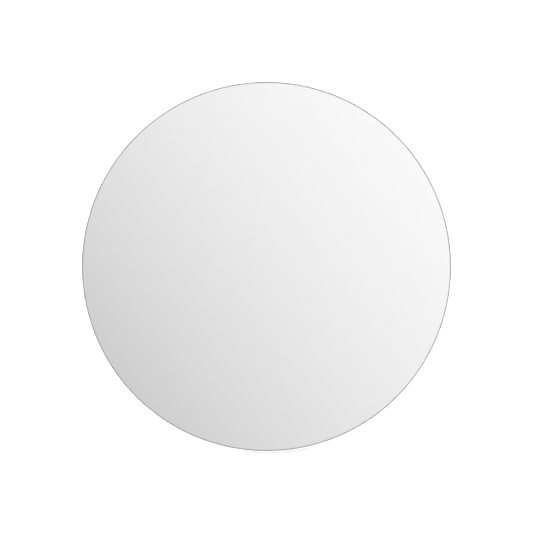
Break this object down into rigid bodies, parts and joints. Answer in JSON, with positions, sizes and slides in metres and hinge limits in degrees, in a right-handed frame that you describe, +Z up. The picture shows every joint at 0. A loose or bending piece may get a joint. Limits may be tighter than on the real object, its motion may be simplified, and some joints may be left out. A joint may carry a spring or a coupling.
{
  "type": "countertop mirror",
  "caption": "Round frameless tabletop mirror leaning back on a fold-out steel leg, which a sliding brace stops when open.",
  "frame": {"origin": "on the counter, under the middle of the outline's bounding box, with the leg open", "axes": "+Z up; the mirror faces -Y and leans back by 15 degrees, so its leg is on the +Y side; +X is to the right of a person looking into the mirror"},
  "size_m": [0.3, 0.1222, 0.2918],
  "materials": {
    "glass": "clear float glass, polished faces, ground and arrised edge",
    "silver": "silvered, specular",
    "backing_paint": "grey mirror-backing paint, slightly glossy, rolled",
    "foam_tape": "white closed-cell foam tape, matt",
    "board_laminate": "fibreboard with a fine-textured black laminate, satin",
    "zinc_plate": "zinc-plated pressed steel, satin",
    "screw_steel": "zinc-plated steel, semi-bright",
    "pin_steel": "turned steel, bright",
    "clip_steel": "dark phosphated spring steel",
    "black_coat": "fine-textured black powder coat, satin",
    "nylon": "natural nylon, moulded",
    "rubber": "moulded black rubber, matt"
  },
  "bodies": {
    "mirror": {"mirror_glass": "glass", "silver_layer": "silver", "backing_paint": "backing_paint", "mounting_tape": "foam_tape", "back_board": "board_laminate", "hinge_bracket": "zinc_plate", "hinge_bracket_screws": "screw_steel", "hinge_pin": "pin_steel", "hinge_pin_clip": "clip_steel", "brace_track": "zinc_plate", "brace_track_screws": "screw_steel", "foot_bracket": "black_coat", "foot_bracket_screws": "screw_steel", "front_foot_left": "rubber", "front_foot_right": "rubber"},
    "leg": {"leg": "black_coat", "leg_bush_left": "nylon", "leg_bush_right": "nylon", "leg_boot_left": "rubber", "leg_boot_right": "rubber", "brace_clevis": "zinc_plate", "brace_clevis_rivets": "screw_steel", "brace_pivot_pin": "pin_steel"},
    "brace": {"brace_arm": "zinc_plate", "brace_slide_pin": "pin_steel", "brace_slide_clip": "clip_steel"}
  },
  "joints": [
    {"name": "leg_fold", "type": "hinge", "parent": "mirror", "child": "leg", "pos_m": [0, 0.0152, 0.20123], "axis": [1, 0, 0], "range_deg": [-25, 0]},
    {"name": "brace_swing", "type": "hinge", "parent": "leg", "child": "brace", "pos_m": [0, 0.02597, 0.14017], "axis": [1, 0, 0], "range_deg": [0, 50]}
  ],
  "couplings": [
    {"joint": "brace_swing", "follows": "leg_fold", "ratio": -2}
  ]
}
